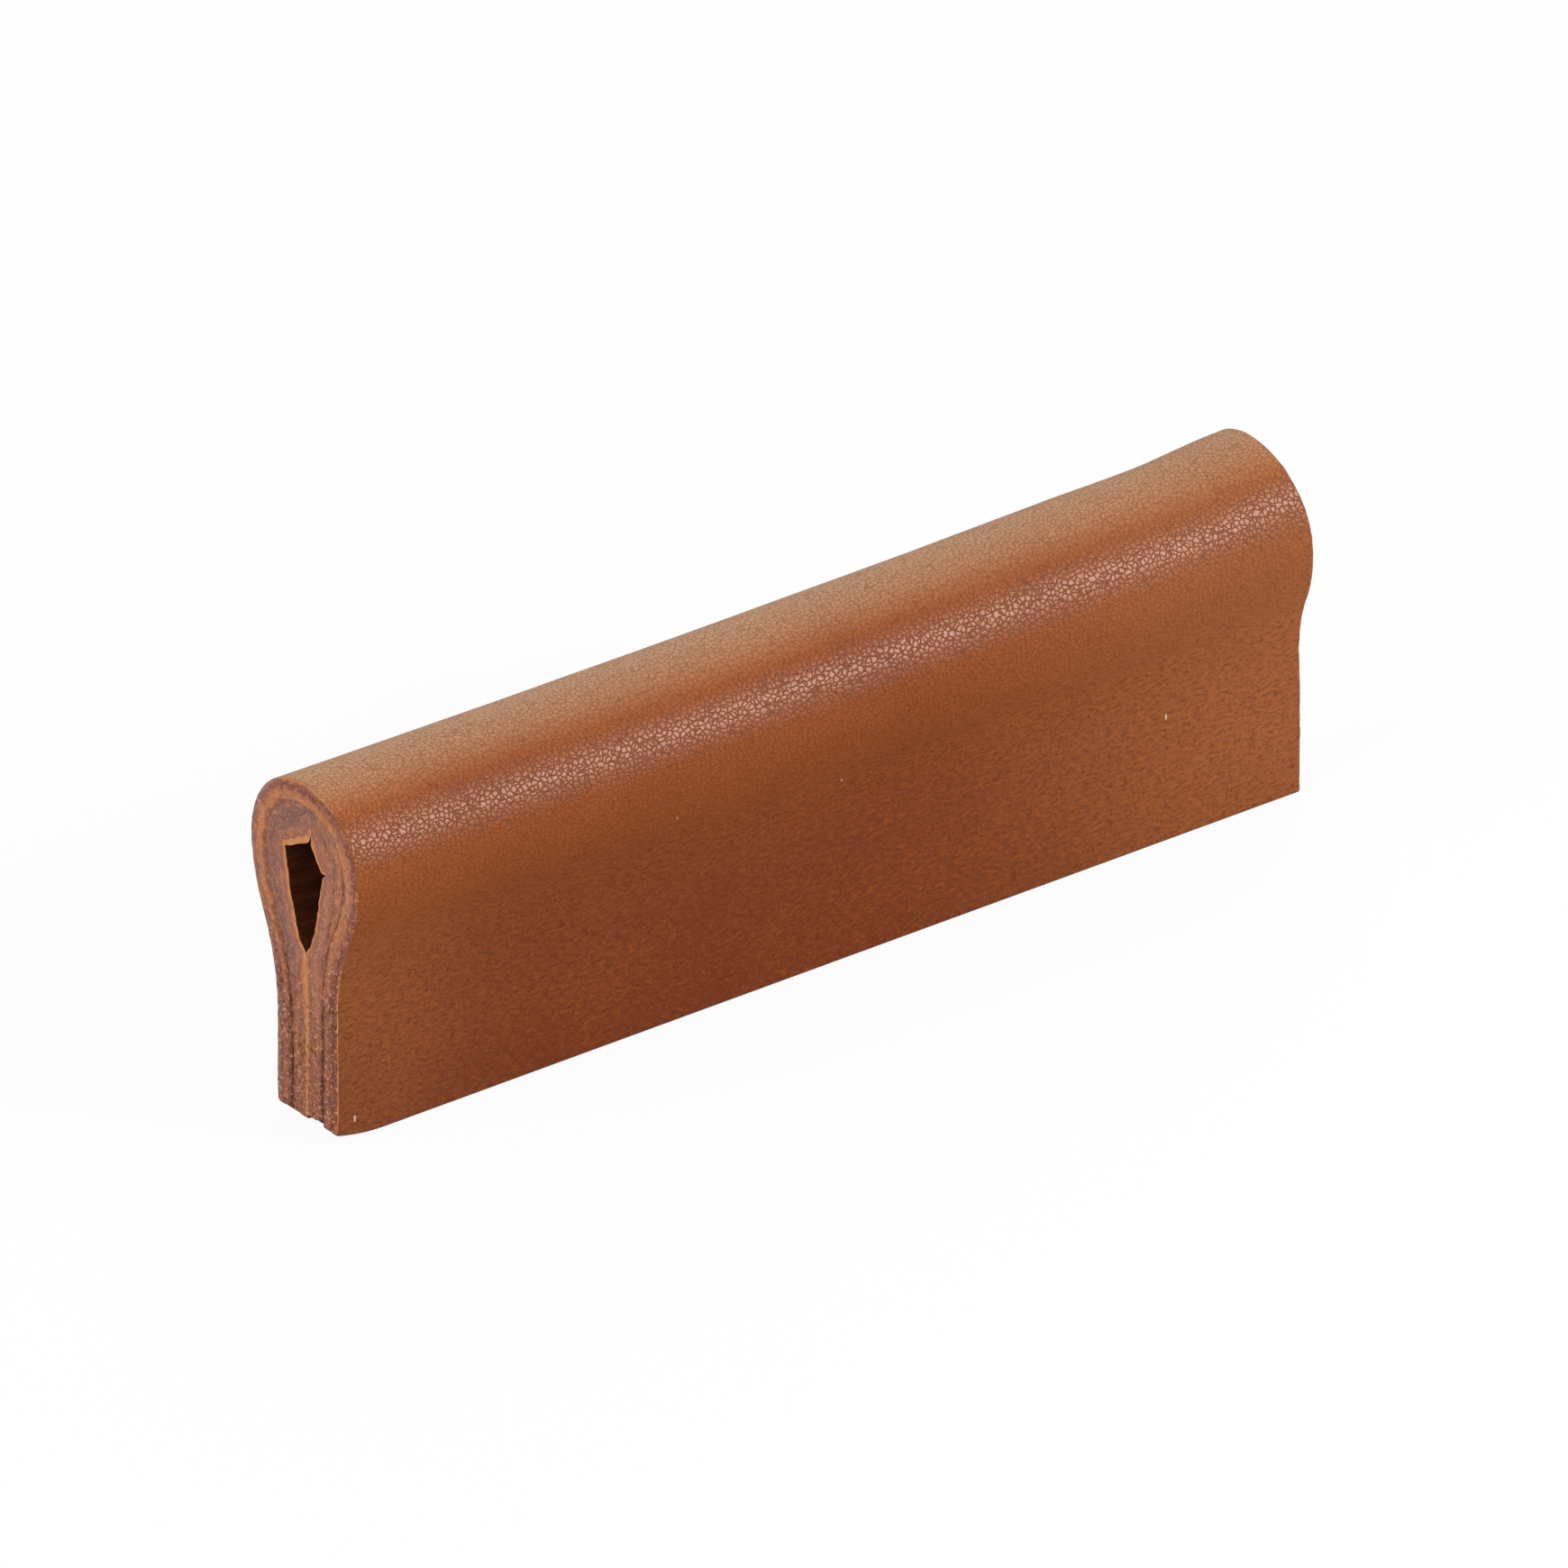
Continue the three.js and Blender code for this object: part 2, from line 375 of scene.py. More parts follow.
def pillowed(corners, bulge=0.03, count=24):
    """Joins corners by low arches: each chord's middle moves by bulge times the chord's length.

    The way is a quarter turn to the right of the chord, so it points into the hollow, and the
    arch is the parabola 4u(1 - u).
    """
    start, step = corners[:-1, None], np.diff(corners, axis=0)[:, None]
    u = np.linspace(0, 1, count, endpoint=False)[None, :, None]
    inwards = step[..., ::-1] * (1, -1)
    line = start + step * u + inwards * bulge * 4 * u * (1 - u)
    return np.concatenate([line.reshape(-1, 2), corners[-1:]])


front_seam, back_seam = SEAM_AT - PRESSED_SEAM / 2, SEAM_AT + PRESSED_SEAM / 2
hollow = CREASES[::-1] * (HOLLOW_HALF, HOLLOW_TOP - HOLLOW_FOOT) + (0, HOLLOW_FOOT)
hollow = pillowed(np.concatenate([
    [(front_seam, HOLLOW_FOOT)], hollow, [(back_seam, HOLLOW_FOOT)],
]))

# %% Match the flesh line and the lining line
flesh = face_line(INNER_DEPTH)
flesh[0, 1] = FRONT_TRIM
INNER_CUT = run_of(face_line(INNER_DEPTH + INNER / 2))[-1]
LEG_RUN = HOLLOW_FOOT - FRONT_TRIM
LEG_POINTS, LOOP_POINTS = 160, 640


def matched(line, knots):
    """The line's points at even steps between four knots, given as distances along it."""
    run = run_of(line)
    counts = (LEG_POINTS, LOOP_POINTS, LEG_POINTS)
    spots = [np.linspace(a, b, n, endpoint=False) for a, b, n in zip(knots, knots[1:], counts)]
    return on_line(np.append(np.concatenate(spots), knots[-1]), run, line)


lining = np.concatenate([[(front_seam, FRONT_TRIM)], hollow, [(back_seam, 0.0)]])
flesh_run, lining_run = run_of(flesh), run_of(lining)
flesh_line_inner = matched(flesh, (0, LEG_RUN, flesh_run[-1] - HOLLOW_FOOT, flesh_run[-1]))
lining_line = matched(lining, (0, LEG_RUN, lining_run[-1] - HOLLOW_FOOT, lining_run[-1]))
steps = np.linspace(0, 1, len(lining_line))
leg_share = LEG_POINTS / (len(steps) - 1)
inner_run = np.interp(steps, (0, leg_share, 1 - leg_share, 1),
                      (0, HOLLOW_FOOT, INNER_CUT - HOLLOW_FOOT, INNER_CUT))
print("inner sheet", LENGTH, "by", round(INNER_CUT, 1), "mm at mid thickness, before it bunches up")


# %% Inner leather sheet
def both_lines(s):
    """The points of the flesh's and of the lining's line at each s."""
    return [on_line(s, inner_run, line) for line in (flesh_line_inner, lining_line)]


def inner_place(s, share, x):
    """Between the flesh's line and the lining's line, by the share of the thickness.

    Ridges run along the pull inside the hollow, and die away at its near end, where the knife
    has left the rim a little ragged.
    """
    flesh, lining = both_lines(s)
    way = (lining - flesh) / np.maximum(np.hypot(*(lining - flesh).T), 1e-6)[:, None]
    from_foot = np.minimum(s, INNER_CUT - s)
    open_part = smooth(from_foot, HOLLOW_FOOT, HOLLOW_FOOT + 5)
    ridge = uneven(41, (s, 1.6), (x, 14.0), (0.5, 1.0)) * smooth(x, 0.5, 7)
    ragged = uneven(42, (s, 0.45), (x, 2.0), (0.5, 1.0)) * (1 - smooth(x, 1, 3))
    push = ((0.28 * ridge + 0.06 * ragged) * open_part * share**2)[:, None]
    y, z = (flesh + (lining - flesh) * share[:, None] + way * push).T
    return settle(x - LENGTH / 2, y, z)


(s, share, x), quads, sides = block(
    rows(INNER_CUT, 0.22, 0.3), rows(1.0, 0.085, 0.08), rows(LENGTH, 1.6, 0.35)
)
thick = np.hypot(*np.subtract(*both_lines(s)).T)
centred = s - INNER_CUT / 2
torn = groove(centred, x, 22)
INNER_FOOT_ROUND, LINING_ROUND, NEAR_RIM, FAR_RIM = 0.25, 0.03, 0.12, 0.05
s, t, x = round_edges(
    (s, share * thick, x),
    (INNER_CUT, thick, LENGTH),
    (INNER_FOOT_ROUND, torn, np.where(share < 0.5, bevel(torn), NEAR_RIM)),
    (INNER_FOOT_ROUND, LINING_ROUND, np.where(share < 0.5, bevel(torn), FAR_RIM)),
)
inner_sheet = make_mesh(
    "inner_leather_sheet",
    inner_place(s, t / thick, x + fray(32, s, t, x)),
    quads,
    np.where(sides == 3, 0, 1),
    sheet=np.stack([s - INNER_CUT / 2, thick - t, x - LENGTH / 2], axis=1),
)

# %% [markdown]
# ## Sockets and brass inserts
# Nothing shows on the outside, so the pull is screwed on from behind, into a threaded insert near
# each end of its foot. A drill makes the sockets in the glued stack, so here too they are cut out
# of the finished sheets. The insert is turned from a profile, and its radius also depends on the
# angle: that gives the helix of the thread and the crossed grip of the knurl.

# %% Turned shapes
SCREW_SPACING, INSERT_LENGTH, INSERT_RADIUS, RECESS, PLAY = 64.0, 8.0, 2.6, 0.2, 0.08
SCREWS = {"left": -SCREW_SPACING / 2, "right": SCREW_SPACING / 2}


def turned(name, profile, x, y, z, count=96, shape=None):
    """Turns a profile of (radius, height) about an upright axis at (x, y, z).

    A point is (x + r cos a, y + r sin a, z + h), where shape may change r by angle and height.
    The first and last points lie on the axis, and their row closes in one point.
    """
    angle = np.linspace(0, 2 * pi, count, endpoint=False)[None, :]
    radius, height = (profile[1:-1, axis][:, None] + 0 * angle for axis in (0, 1))
    if shape:
        radius = shape(radius, height, angle)
    ring = np.stack([x + radius * np.cos(angle), y + radius * np.sin(angle), z + height], axis=-1)
    poles = np.array([(x, y, z + profile[0, 1]), (x, y, z + profile[-1, 1])])
    points = np.concatenate([ring.reshape(-1, 3), poles])
    here = np.arange(len(points) - 2).reshape(-1, count)
    there = np.roll(here, -1, axis=1)
    faces = [np.stack([here[:-1], here[1:], there[1:], there[:-1]], axis=-1).reshape(-1, 4)]
    first, last = np.full(count, len(points) - 2), np.full(count, len(points) - 1)
    faces.append(np.stack([first, here[0], there[0], first], axis=-1))
    faces.append(np.stack([last, there[-1], here[-1], last], axis=-1))
    return points, np.concatenate(faces)


# %% Drill the sockets
def drill(piece):
    """Cuts both sockets out of a piece, and gives their walls the piece's cut leather."""
    for x in SCREWS.values():
        radius, top = INSERT_RADIUS + PLAY, RECESS + INSERT_LENGTH + PLAY
        profile = np.array([(0, -1), (radius, -1), (radius, top), (0, top)])
        points, faces = turned("drill", profile, x, CENTRED, 0, 64)
        mesh = bpy.data.meshes.new("drill")
        mesh.from_pydata(points * MM, [], [tuple(dict.fromkeys(face)) for face in faces.tolist()])
        mesh.polygons.foreach_set("material_index", np.ones(len(mesh.polygons), np.int32))
        bit = bpy.data.objects.new("drill", mesh)
        bpy.context.scene.collection.objects.link(bit)
        cut = piece.modifiers.new("socket", "BOOLEAN")
        cut.operation, cut.solver, cut.object = "DIFFERENCE", "MANIFOLD", bit
        bpy.context.view_layer.update()
        shaped = bpy.data.meshes.new_from_object(
            piece.evaluated_get(bpy.context.evaluated_depsgraph_get())
        )
        piece.modifiers.remove(cut)
        bpy.data.objects.remove(bit)
        piece.data = shaped
    print(piece.name, "drilled:", len(piece.data.polygons), "faces")


# %% [markdown]
# ## Shader arithmetic
# A material is a sum of masks and colours, so it reads best as arithmetic. One class wraps a
# socket: plus, minus and times on it add Math nodes, and one method adds any other node.

# %% One class for material arithmetic
def colour(red, green, blue):
    """A paint-program colour from 0 to 255 as the light it stands for: share to the power 2.2."""
    return tuple((value / 255) ** 2.2 for value in (red, green, blue))


class Wire:
    """A value that runs through a material. Arithmetic on it adds Math nodes."""

    def __init__(self, tree, socket=None):
        self.tree, self.socket = tree, socket

    def node(self, kind, settings=None, values=None, output=0):
        """Adds a node: its settings first, with stops for a ramp, then each socket's value or link."""
        new = self.tree.nodes.new("ShaderNode" + kind)
        for name, value in (settings or {}).items():
            if name == "stops":
                ramp = new.color_ramp
                while len(ramp.elements) < len(value):
                    ramp.elements.new(0.5)
                for element, (place, paint) in zip(ramp.elements, value):
                    element.position = place
                    element.color = (*colour(*paint), 1)
            else:
                setattr(new, name, value)
        for name, value in (values or {}).items():
            socket = new.inputs[name]
            if isinstance(value, Wire):
                self.tree.links.new(value.socket, socket)
            elif isinstance(value, tuple) and len(value) == 3 and socket.type == "RGBA":
                socket.default_value = (*value, 1)
            else:
                socket.default_value = value
        return Wire(self.tree, new.outputs[output]) if new.outputs else None

    def math(self, operation, *others):
        """Any Math node, with this value first."""
        return self.node("Math", {"operation": operation}, dict(enumerate((self, *others))))

    def __add__(self, other):
        return self.math("ADD", other)

    __radd__ = __add__

    def __mul__(self, other):
        return self.math("MULTIPLY", other)

    __rmul__ = __mul__

    def __sub__(self, other):
        return self.math("SUBTRACT", other)

    def __rsub__(self, other):
        return self.node("Math", {"operation": "SUBTRACT"}, {0: other, 1: self})

    def __truediv__(self, other):
        return self.math("DIVIDE", other)

    def between(self, low, high):
        """0 at low, 1 at high, smooth between; low may be the larger one."""
        settings = {"interpolation_type": "SMOOTHSTEP"}
        if low < high:
            return self.node("MapRange", settings, {0: self, 1: low, 2: high})
        return 1 - self.node("MapRange", settings, {0: self, 1: high, 2: low})

    def band(self, start, full, fade, stop):
        """0 before start, 1 from full to fade, 0 past stop: one rise times one fall."""
        return self.between(start, full) * self.between(stop, fade)

    def ramp(self, *stops):
        """Blends from stop to stop. Each is (place, paint-program colour)."""
        return self.node("ValToRGB", {"stops": stops}, {0: self})

    def noise(self, cell, detail=2.0, rough=0.5, stretch=(1, 1, 1)):
        """Noise from 0 to 1 at this vector, its bumps one cell apart, drawn out by stretch."""
        scale = tuple(1 / (cell * s) for s in stretch)
        place = self.node("VectorMath", {"operation": "MULTIPLY"}, {0: self, 1: scale})
        return self.node("TexNoise", None, {"Vector": place, "Scale": 1.0, "Detail": detail,
                                            "Roughness": rough})

    def cells(self, pitch, soft, stretch=(1, 1, 1)):
        """Pebbles of this pitch: 0 in the lines between them, rising to 1 over the soft share."""
        scale = tuple(1 / (pitch * s) for s in stretch)
        place = self.node("VectorMath", {"operation": "MULTIPLY"}, {0: self, 1: scale})
        settings = {"feature": "DISTANCE_TO_EDGE"}
        return self.node("TexVoronoi", settings, {"Vector": place, "Scale": 1.0}).between(0, soft)

    def mix(self, below, above):
        """This mask between two colours."""
        return self.node("Mix", {"data_type": "RGBA"}, {0: self, 6: below, 7: above}, 2)

    def painted(self, *coats):
        """This colour under coats of others. Each is (mask, paint-program colour)."""
        base = self
        for mask, paint in coats:
            base = mask.mix(base, colour(*paint))
        return base


# %% A new material and its surface
def recipe(name):
    """A new material, the start of its arithmetic, and its leather place: fold, depth, length."""
    material = bpy.data.materials.new(name)
    material.use_nodes = True
    material.node_tree.nodes.clear()
    start = Wire(material.node_tree)
    place = start.node("Attribute", {"attribute_name": "sheet"}, None, 1)
    return material, start, place


def surface(start, base, rough, relief, height, **fixed):
    """Joins colour, roughness and relief to the material's surface. Height is in millimetres."""
    values = {"Base Color": base, "Roughness": rough, **fixed}
    if relief is not None:
        bump = start.node("Bump", None, {"Strength": 1.0, "Distance": height * MM, "Height": relief})
        values["Normal"] = bump
    shader = start.node("BsdfPrincipled", None, values)
    start.node("OutputMaterial", None, {"Surface": shader})


# %% [markdown]
# ## Grain leather
# The finish is a smooth saddle leather with pebbles about half a millimetre across, a thin glaze,
# valleys darkened partly by dye and partly as painted shade, and slow cloudy patches. On the legs
# the hide was drawn lengthwise, so that its wrinkles lie along the pull. A picture of leather would
# do it on one side only. Cells and noise in the sheet's own coordinates run on over the fold without
# a seam.

# %% Grain leather: where things lie
grain_leather, start, place = recipe("grain_leather")
across = start.node("SeparateXYZ", None, {0: place})
fold = across.math("ABSOLUTE")
length = start.node("SeparateXYZ", None, {0: place}, 2)
right_end, left_end = length.between(5, 50), length.between(-28, -50)
loop = fold.between(20, 11)
leg = 1 - loop
crown = fold.between(5, 1.5)
throat = fold.band(10, 15, 20, 26)
shoulder = across.band(-10.6, -8.6, -5.8, -3.6)
gleam = across.band(-10, -8.6, -6, -4.4)
worn = across.band(-5.5, -2.5, 8, 22)

# %% [markdown]
# The relief comes next. Round pebbles cover the loop, drawn-out ones and wrinkles the legs, and
# a much finer grain lies over both. The valleys between the pebbles are lower and rougher.

# %% Grain leather: pebbles and wrinkles
PEBBLE, LEG_PEBBLE, WRINKLE, PORE, FINE = 0.44, 0.34, 0.33, 0.34, 0.15
warp = start.node("TexNoise", None, {"Vector": place, "Scale": 1.9, "Detail": 2.0}, 1)
bent = start.node("VectorMath", {"operation": "MULTIPLY_ADD"}, {0: warp, 1: (0.45,) * 3, 2: place})
round_grain = bent.cells(PEBBLE, 0.17, (1, 1, 1.15))
dome = bent.cells(PEBBLE, 0.45, (1, 1, 1.15))
drawn_grain = bent.cells(LEG_PEBBLE, 0.13, (1, 1, 1.8))
fine = place.noise(FINE, 2, 0.6)
pores = place.noise(PORE, 2, 0.6)
wrinkle = place.noise(WRINKLE, 3, 0.65, (1, 1, 2.5))
valley = (1 - round_grain) * loop
valley = valley + (1 - drawn_grain) * leg * wrinkle.between(0.56, 0.44)
relief = fine * (0.14 + 0.3 * crown) + wrinkle * (0.1 + 0.4 * leg) + dome * shoulder * 0.2
relief = relief - valley * (0.5 - 0.25 * leg)

# %% [markdown]
# The dye is one ramp from dark to light, read at a tone. The tone is a sum: slow clouds and
# patches, lighter ends, darker legs, soft bands along the fold, and the fine grain. The darker
# legs are painted shade, and the lighter bands over the throat are painted light, where the
# concave throat gets less of the lamps; the other bands darken the tone in a few steps from the
# throat down to the feet. Over the crown and its back the colour turns a pale tan: partly hide
# thinned over the crown, partly painted sheen from the lamps above and behind.

# %% Grain leather: dye
CLOUD, PATCH = 16, 4.5
tone = place.noise(CLOUD, 3, 0.6) * 0.3 + place.noise(PATCH, 2) * 0.15 + 0.13
# The legs take a darker tone: painted shade, as the upright legs get less of the lamps than the loop.
tone = tone + right_end * leg * 0.2 - leg * 0.22
tone = tone + left_end * loop * 0.14 + left_end * leg * 0.1
# The crown is lighter in tone: partly hide thinned over the crown, partly painted sheen.
tone = tone + fold.between(6, 1) * 0.08
tone = tone - fold.band(11.5, 13.5, 15, 17) * (1 - left_end) * 0.03
# Lighter bands over the throat: painted light, where the concave throat gets less of the lamps.
tone = tone + fold.band(12, 17, 19, 25) * 0.08
tone = tone + fold.band(15.5, 17.5, 18.5, 20.5) * (0.06 + left_end * 0.06)
tone = tone - fold.band(18, 22, 25, 31) * (1 - left_end) * 0.05
tone = tone - fold.between(24, 37) * 0.06
tone = tone + (fine - 0.5) * (1 + crown * 1.3)
tone = tone + (pores - 0.5) * 0.4 + (wrinkle - 0.5) * (0.9 * leg)
dye = tone.ramp(
    (0.05, (120, 56, 21)), (0.3, (143, 72, 28)), (0.5, (158, 83, 34)),
    (0.75, (174, 98, 45)), (0.95, (187, 114, 62)),
)
# Pale tan over the crown and its back: partly hide thinned over the crown, partly painted sheen from
# the lamps above and behind.
stretch_and_sheen = fold.between(5.5, 0.5) * 0.38
stretch_and_sheen = stretch_and_sheen + across.band(-1, 5, 6, 14) * 0.56
base = dye.painted(
    (stretch_and_sheen, (216, 180, 144)),
    (across.between(4, 13) * 0.42, (206, 146, 86)),
    # A pale grey-pink coat along the lamp's gleam on the shoulder: painted highlight.
    (gleam * 0.062, (190, 170, 160)),
    (throat * (0.27 - 0.1 * right_end), (146, 76, 20)),
    (right_end * 0.2 + left_end * leg * 0.12, (184, 126, 82)),
    # Darker valleys between the pebbles: partly dye, partly painted shade, strongest on the shoulder
    # between the glints.
    (valley * (0.3 + 0.28 * shoulder + 0.06 * crown + 0.2 * leg), (80, 36, 14)),
    (fine.between(0.5, 0.36) * crown * 0.4, (132, 84, 44)),
    (pores.between(0.42, 0.34) * 0.25, (84, 38, 14)),
)

# %% [markdown]
# Last come five pale flecks, where a speck of the glaze has come off. Each is an ellipse: the
# squares of the distances along and across, in half widths, add up to less than one inside it.

# %% Grain leather: flecks and glaze
FLECKS = (  # across the fold, along the pull, half width, half height
    (-34.9, -48.3, 0.12, 0.36), (-24.85, 36.05, 0.09, 0.3), (-6.5, 8.0, 0.08, 0.1),
    (-18.4, 1.5, 0.1, 0.12), (-15.2, -16.5, 0.08, 0.1),
)
for fleck_across, fleck_along, width, height in FLECKS:
    sideways = ((length - fleck_along) / width).math("POWER", 2)
    upwards = ((across - fleck_across) / height).math("POWER", 2)
    fleck = (sideways + upwards + (fine - 0.5) * 2).between(1.1, 0.6)
    base = base.painted((fleck * 0.8, (226, 206, 186)))
rough = 0.29 + 0.3 * valley + 0.25 * throat + 0.36 * worn
surface(start, base, rough, relief, 0.05, **{"Specular IOR Level": 0.22})
print("grain leather:", len(start.tree.nodes), "nodes")

# %% [markdown]
# ## Cut leather
# A cut edge shows how the hide was dyed: the dye comes in from both faces, and leaves bands. In the
# loop the knife has burnished them, and in the legs the fibres are torn and mottled. Bands are a
# ramp over the depth below the grain, bent a little by noise.

# %% Cut edges
def cut_leather(name, loop_bands, loop_depth, leg_bands, leg_depth, shifts, pressed, grey_back_rim):
    """Bands by depth below the grain: one ramp for the smooth loop, one for the rougher legs.

    Each shift moves the bands by millimetres: on the loop's front, crown and back, and on the
    back leg. Pressed is the share of grey under the crown and the back, and grey_back_rim is how
    strongly the outer rim at the back turns a pale grey.
    """
    material, start, place = recipe(name)
    around = start.node("SeparateXYZ", None, {0: place})
    depth = start.node("SeparateXYZ", None, {0: place}, 1)
    leg = around.math("ABSOLUTE").between(16, 25)
    front, behind = around.between(-2, -5), around.between(2, 6)
    crown = around.math("ABSOLUTE").between(5, 3)
    front_shift, crown_shift, back_shift, leg_shift = shifts
    wave = place.noise(1.7, 4, 0.65) - 0.5
    streak = place.noise(0.22, 3, 0.6, (5, 1, 5))
    patch = place.noise(1.1, 4, 0.65)
    crumb = place.noise(0.3, 3, 0.6)
    pit = place.noise(0.42, 3, 0.65, (1.6, 1, 1))
    inner_part = depth.between(0, 0.6)
    bent = depth + inner_part * (wave * 1.5 + (crumb - 0.5) * 0.5)
    loop_place = bent + front * front_shift + crown * crown_shift + behind * back_shift
    bands = leg.mix(
        (loop_place / loop_depth).ramp(*loop_bands),
        ((bent + behind * leg_shift) / leg_depth).ramp(*leg_bands),
    )
    under_crown = (1 - leg) * around.between(-4, -1) * depth.between(1.0, 1.7)
    torn = leg * depth.between(1.5, 1.95) * pit.between(0.6, 0.46)
    base = bands.painted(
        (under_crown * pressed, (118, 88, 82)),
        (behind * depth.between(0.8, 0.25) * grey_back_rim, (160, 132, 122)),
        (patch.between(0.52, 0.57) * inner_part * 0.4, (130, 88, 84)),
        (patch.between(0.47, 0.42) * 0.4, (174, 102, 62)),
        (streak.between(0.54, 0.66) * (0.4 - 0.2 * leg), (190, 128, 88)),
        (streak.between(0.46, 0.34) * (0.35 - 0.1 * leg), (108, 64, 56)),
        (crumb.between(0.55, 0.64) * (0.36 + 0.4 * leg), (214, 154, 116)),
        (pit.between(0.45, 0.37) * (0.3 + 0.45 * leg), (84, 42, 30)),
        # Darkest where the layers gape in the legs: partly torn flesh, partly painted shade in the
        # groove.
        (torn * (0.25 + 0.25 * behind), (62, 30, 22)),
    )
    relief = (crumb * 0.7 + pit * 0.5 + streak * 0.3) * (0.45 + 0.75 * leg)
    surface(start, base, 0.6 + 0.2 * crumb, relief, 0.2, **{"Specular IOR Level": 0.2})
    print(name, "has", len(start.tree.nodes), "nodes")
    return material


# %% Bands of both sheets, from the grain inwards
outer_cut = cut_leather(
    "outer_cut_leather",
    loop_bands=[
        (0.0, (176, 122, 78)), (0.04, (154, 98, 64)), (0.1, (124, 70, 52)),
        (0.3, (116, 68, 60)), (0.42, (132, 82, 66)), (0.56, (162, 104, 74)),
        (0.78, (182, 120, 80)), (0.92, (176, 116, 80)), (1.0, (130, 82, 62)),
    ],
    loop_depth=OUTER,
    leg_bands=[
        (0.0, (226, 166, 130)), (0.04, (206, 142, 108)), (0.08, (136, 80, 60)),
        (0.28, (104, 56, 44)), (0.44, (116, 66, 52)), (0.6, (136, 86, 68)),
        (0.8, (148, 96, 76)), (0.94, (138, 86, 66)), (1.0, (116, 68, 50)),
    ],
    leg_depth=OUTER,
    shifts=(0.1, -0.2, 0.3, 0.35),
    pressed=0.0,
    grey_back_rim=0.5,
)
# The pale first stops, at the lining's rim in the loop and down the seam in the legs, are partly the
# rim's own colour, partly painted highlight on its rounded edge.
inner_cut = cut_leather(
    "inner_cut_leather",
    loop_bands=[
        (0.0, (200, 134, 88)), (0.1, (196, 128, 82)), (0.15, (150, 94, 74)),
        (0.28, (146, 94, 78)), (0.45, (164, 112, 92)), (0.6, (154, 102, 84)),
        (0.72, (142, 92, 74)), (0.79, (106, 66, 52)), (0.86, (148, 98, 74)),
        (1.0, (156, 104, 78)),
    ],
    loop_depth=2.9,
    leg_bands=[
        (0.0, (212, 150, 104)), (0.05, (196, 134, 80)), (0.1, (148, 94, 64)),
        (0.3, (140, 88, 62)), (0.5, (142, 90, 68)), (0.7, (150, 98, 78)),
        (0.84, (142, 90, 70)), (0.94, (122, 74, 56)), (1.0, (100, 58, 44)),
    ],
    leg_depth=INNER,
    shifts=(0.15, -0.15, -0.12, 0.0),
    pressed=0.75,
    grey_back_rim=0.0,
)

# %% [markdown]
# ## Lining and brass
# Inside the loop the same leather shows its grain again, unglazed and pressed into wrinkles; its
# colour is painted dark, as shade for the deep hollow. The inserts are turned brass with fine rings
# from the lathe.

# %% Lining leather
lining_leather, start, place = recipe("lining_leather")
wrinkle = place.noise(0.9, 3, 0.6, (1, 1, 5))
fine = place.noise(0.25, 2)
# Dark browns: the lining's own colour deepened as painted shade for the hollow.
base = wrinkle.ramp((0.3, (58, 28, 13)), (0.55, (84, 42, 20)), (0.75, (104, 56, 28)))
surface(start, base, 0.7 + 0.1 * fine, wrinkle + fine * 0.3, 0.12, **{"Specular IOR Level": 0.2})

# %% Brass
brass, start, place = recipe("insert_brass")
here = start.node("TexCoord", None, None, 3)
RINGS_A_METRE = (400, 400, 9000)
flattened = start.node("VectorMath", {"operation": "MULTIPLY"}, {0: here, 1: RINGS_A_METRE})
rings = start.node("TexNoise", None, {"Vector": flattened, "Scale": 1.0, "Detail": 2.0})
base = rings.ramp((0.35, (190, 150, 78)), (0.65, (214, 176, 104)))
surface(start, base, 0.24 + 0.16 * rings, rings, 0.01, Metallic=1.0)

# %% [markdown]
# ## Joining pieces, finishes and frame
# Each sheet takes its two finishes, is drilled, and then stands for its plain CAD node. It rides
# on the one body that the pull has.

# %% Dress the sheets
for piece, node, finishes in (
    (outer_sheet, "outer_leather", (grain_leather, outer_cut)),
    (inner_sheet, "inner_leather", (lining_leather, inner_cut)),
):
    for finish in finishes:
        piece.data.materials.append(finish)
    drill(piece)
    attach(piece, "root")
    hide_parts(node)

# %% Brass inserts
PITCH, THREAD, BORE, BORE_DEPTH = 0.7, 0.36, 1.65, 7.0
KNURL, KNURL_PITCH, KNURL_COUNT = 0.1, 1.1, 24
GROOVES, GROOVE_DEPTH = ((1.867, 3.067), (4.933, 6.133)), 0.3
MOUTH_RADIUS, MOUTH_DEPTH, EDGE, BORE_ROWS, WALL_ROWS = 2.05, 0.35, 0.3, 96, 75


def insert_profile():
    """From the bore's end to the top: bore, chamfer, face, then the wall with its two grooves."""
    bore = np.linspace(BORE_DEPTH, MOUTH_DEPTH, BORE_ROWS)
    wall = np.linspace(EDGE, INSERT_LENGTH - EDGE, WALL_ROWS)
    depth = sum(
        smooth(wall, low - 0.1, low + 0.1) * smooth(-wall, -high - 0.1, -high + 0.1)
        for low, high in GROOVES
    )
    return np.concatenate([
        [(0, BORE_DEPTH), (BORE, BORE_DEPTH)],
        np.stack([np.full(BORE_ROWS, BORE), bore], axis=1),
        [(MOUTH_RADIUS, 0), (INSERT_RADIUS - 0.25, 0), (INSERT_RADIUS - 0.08, 0.08)],
        np.stack([INSERT_RADIUS - GROOVE_DEPTH * depth, wall], axis=1),
        [(INSERT_RADIUS - EDGE, INSERT_LENGTH), (0, INSERT_LENGTH)],
    ])


